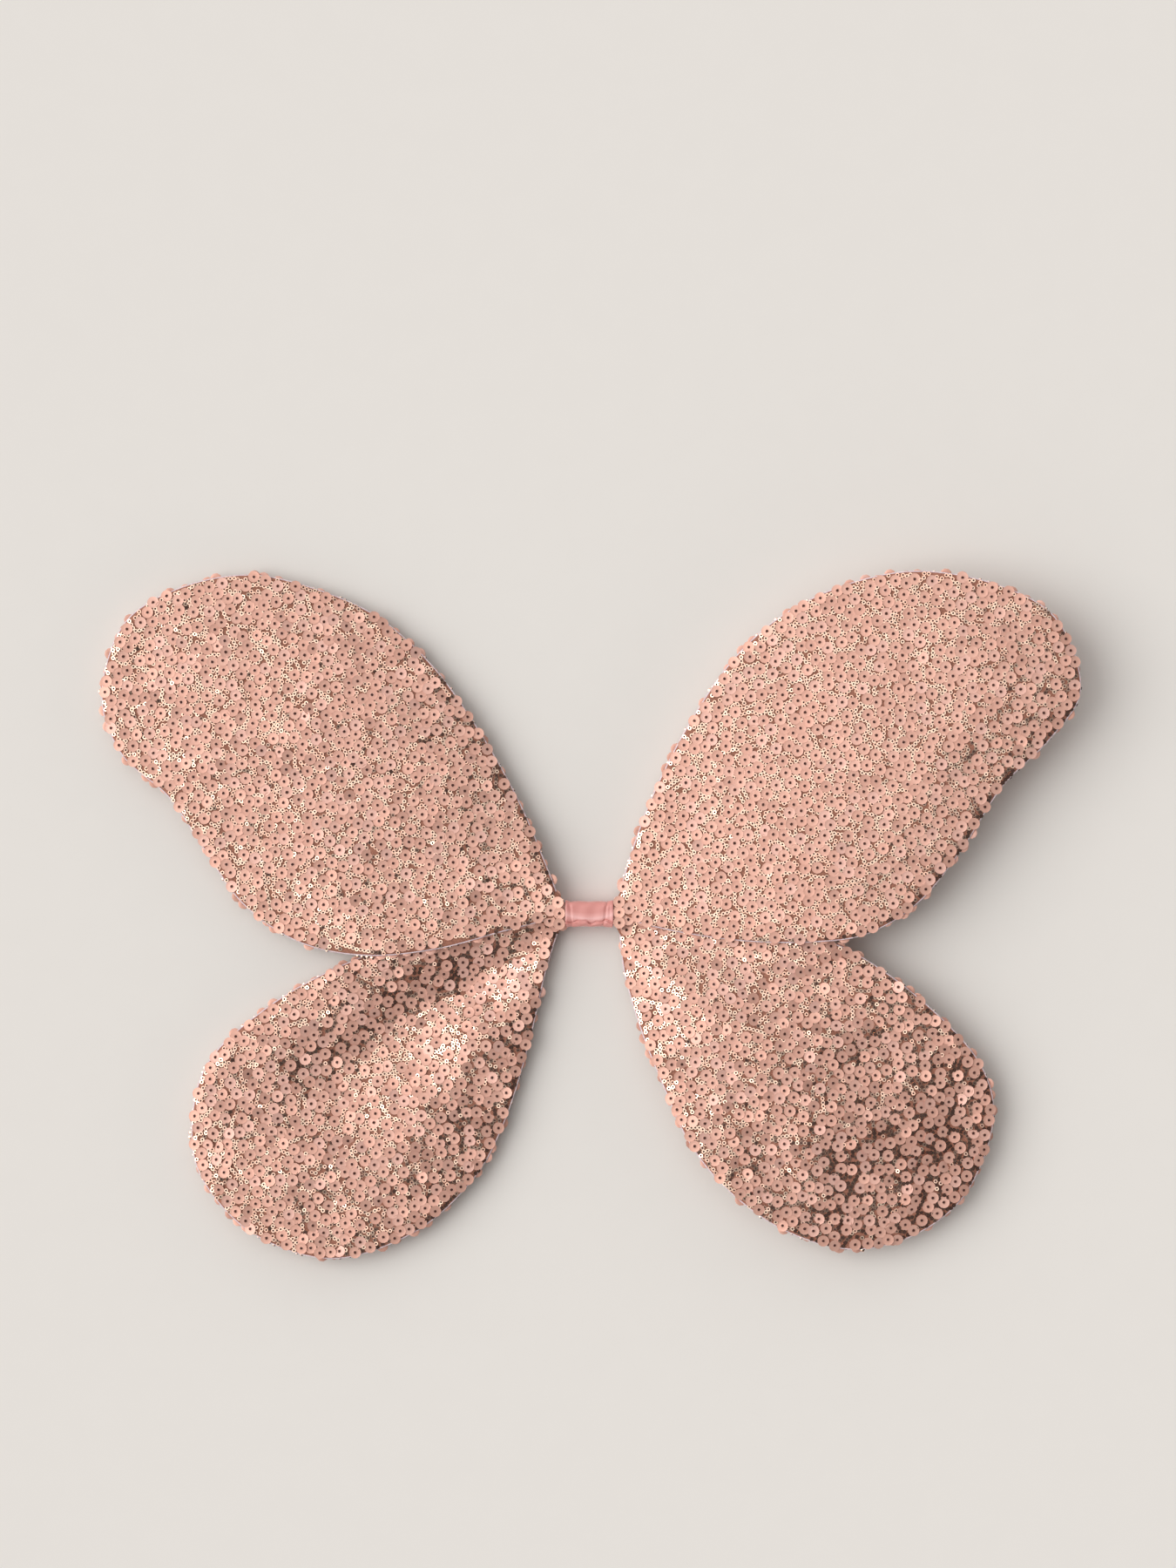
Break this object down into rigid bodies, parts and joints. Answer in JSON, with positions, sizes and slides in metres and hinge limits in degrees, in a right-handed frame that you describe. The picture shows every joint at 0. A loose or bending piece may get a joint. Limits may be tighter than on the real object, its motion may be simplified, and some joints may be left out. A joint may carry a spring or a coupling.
{
  "type": "fairy wings",
  "caption": "Butterfly-shaped fairy wings with sequinned fabric lobes on wire loops, a ribbon-wrapped centre and elastic shoulder straps.",
  "frame": {"origin": "middle of the footprint, on the surface that the shoulder straps rest on, the wings lying on their back", "axes": "+X across the span, towards the wing that is on the right when its sequinned front is seen; +Y towards the top of the wings; +Z out of the front"},
  "size_m": [0.4484, 0.3154, 0.0314],
  "materials": {
    "sequin_cloth": "sequinned mesh, satin rose gold",
    "edge_seam": "matte lilac-pink turned edge",
    "wire": "galvanised, dull",
    "crimp": "satin",
    "felt": "matte felt",
    "satin_ribbon": "soft satin sheen",
    "elastic": "matte braided"
  },
  "bodies": {
    "bridge": {"ribbon_wrap": "satin_ribbon", "ribbon_end_fold": "satin_ribbon", "core_pad": "felt", "upper_crimp": "crimp", "lower_crimp": "crimp", "upper_front_bridge_wire": "wire", "upper_rear_bridge_wire": "wire", "lower_front_bridge_wire": "wire", "lower_rear_bridge_wire": "wire", "left_shoulder_strap": "elastic", "right_shoulder_strap": "elastic"},
    "left_upper_lobe": {"left_upper_front_panel": "sequin_cloth", "left_upper_back_panel": "sequin_cloth", "left_upper_edge_seam": "edge_seam", "left_upper_wire_loop": "wire"},
    "left_lower_lobe": {"left_lower_front_panel": "sequin_cloth", "left_lower_back_panel": "sequin_cloth", "left_lower_edge_seam": "edge_seam", "left_lower_wire_loop": "wire"},
    "right_upper_lobe": {"right_upper_front_panel": "sequin_cloth", "right_upper_back_panel": "sequin_cloth", "right_upper_edge_seam": "edge_seam", "right_upper_wire_loop": "wire"},
    "right_lower_lobe": {"right_lower_front_panel": "sequin_cloth", "right_lower_back_panel": "sequin_cloth", "right_lower_edge_seam": "edge_seam", "right_lower_wire_loop": "wire"}
  },
  "joints": [
    {"name": "left_wing_fold", "type": "hinge", "parent": "bridge", "child": "left_upper_lobe", "pos_m": [-0.0119, 0.0008, 0.0142], "axis": [0, 1, 0], "range_deg": [0, 85]},
    {"name": "left_lower_swing", "type": "hinge", "parent": "left_upper_lobe", "child": "left_lower_lobe", "pos_m": [-0.0129, -0.0007, 0.007], "axis": [0, 0, 1], "range_deg": [-8, 12]},
    {"name": "right_wing_fold", "type": "hinge", "parent": "bridge", "child": "right_upper_lobe", "pos_m": [0.0121, 0.0008, 0.0142], "axis": [0, -1, 0], "range_deg": [0, 85]},
    {"name": "right_lower_swing", "type": "hinge", "parent": "right_upper_lobe", "child": "right_lower_lobe", "pos_m": [0.0131, -0.0007, 0.007], "axis": [0, 0, -1], "range_deg": [-8, 12]}
  ]
}
